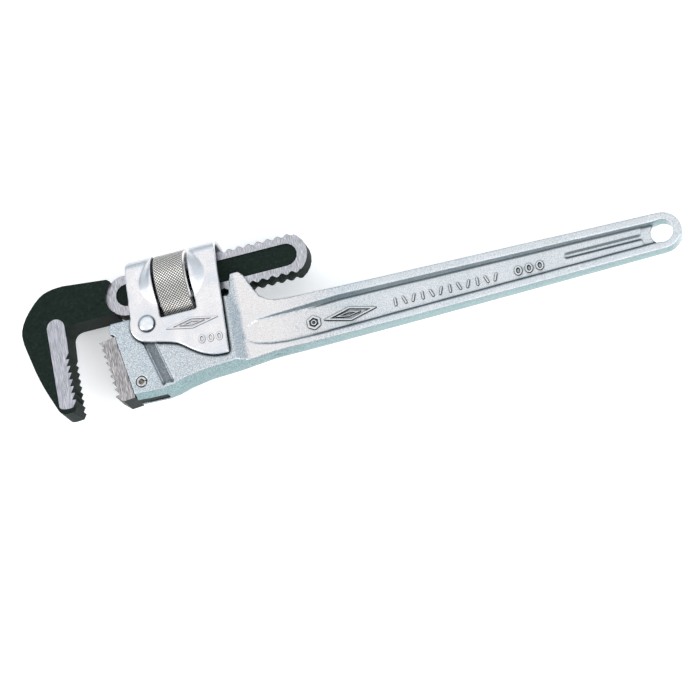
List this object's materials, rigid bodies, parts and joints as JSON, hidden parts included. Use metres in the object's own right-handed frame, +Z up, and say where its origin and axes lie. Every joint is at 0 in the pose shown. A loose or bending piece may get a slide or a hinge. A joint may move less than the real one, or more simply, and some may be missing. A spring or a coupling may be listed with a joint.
{
  "type": "pipe wrench",
  "caption": "Adjustable pipe wrench: a toothed hook jaw on a threaded shank runs through a knurled nut in a sprung steel frame pinned to an aluminium I-beam handle with a toothed lower jaw",
  "frame": {"origin": "On the surface that the wrench lies on, under the middle of its box", "axes": "+X along the handle from the jaws to the hanging eye, +Y toward the threaded shank, +Z up out of the upper side face"},
  "size_m": [0.3306, 0.0724, 0.034],
  "materials": {
    "body": "blasted forging, lightly polished on the handle",
    "lower_jaw": "ground sides, blackened underside",
    "frame": "bright plated pressing",
    "frame_pin": "polished dome",
    "nut": "plated, fine diamond knurl",
    "hook_jaw": "black oxide on a steel forging, ground faces",
    "spring_steel": "bright spring steel"
  },
  "bodies": {
    "handle": {"body": "body", "lower_jaw": "lower_jaw", "jaw_pin": "spring_steel", "frame_pin": "frame_pin", "coil_spring": "spring_steel", "leaf_spring": "spring_steel", "leaf_rivet": "spring_steel"},
    "frame": {"frame": "frame"},
    "hook": {"hook_jaw": "hook_jaw"},
    "nut": {"nut": "nut"}
  },
  "joints": [
    {"name": "frame_pivot", "type": "hinge", "parent": "handle", "child": "frame", "pos_m": [-0.10034, -0.00083, 0.017], "axis": [0, 0, 1], "range_deg": [-3, 3], "stiffness_Nm_per_rad": 12, "deforming": ["coil_spring", "leaf_spring"]},
    {"name": "jaw_slide", "type": "slide", "parent": "frame", "child": "hook", "axis": [1, 0, 0], "range_m": [-0.034, 0.0155]},
    {"name": "nut_spin", "type": "hinge", "parent": "frame", "child": "nut", "pos_m": [-0.08434, 0.01917, 0.017], "axis": [1, 0, 0], "range_deg": [-1150, 2460]}
  ],
  "couplings": [
    {"joint": "nut_spin", "follows": "jaw_slide", "rad_per_m": -1256.6}
  ]
}
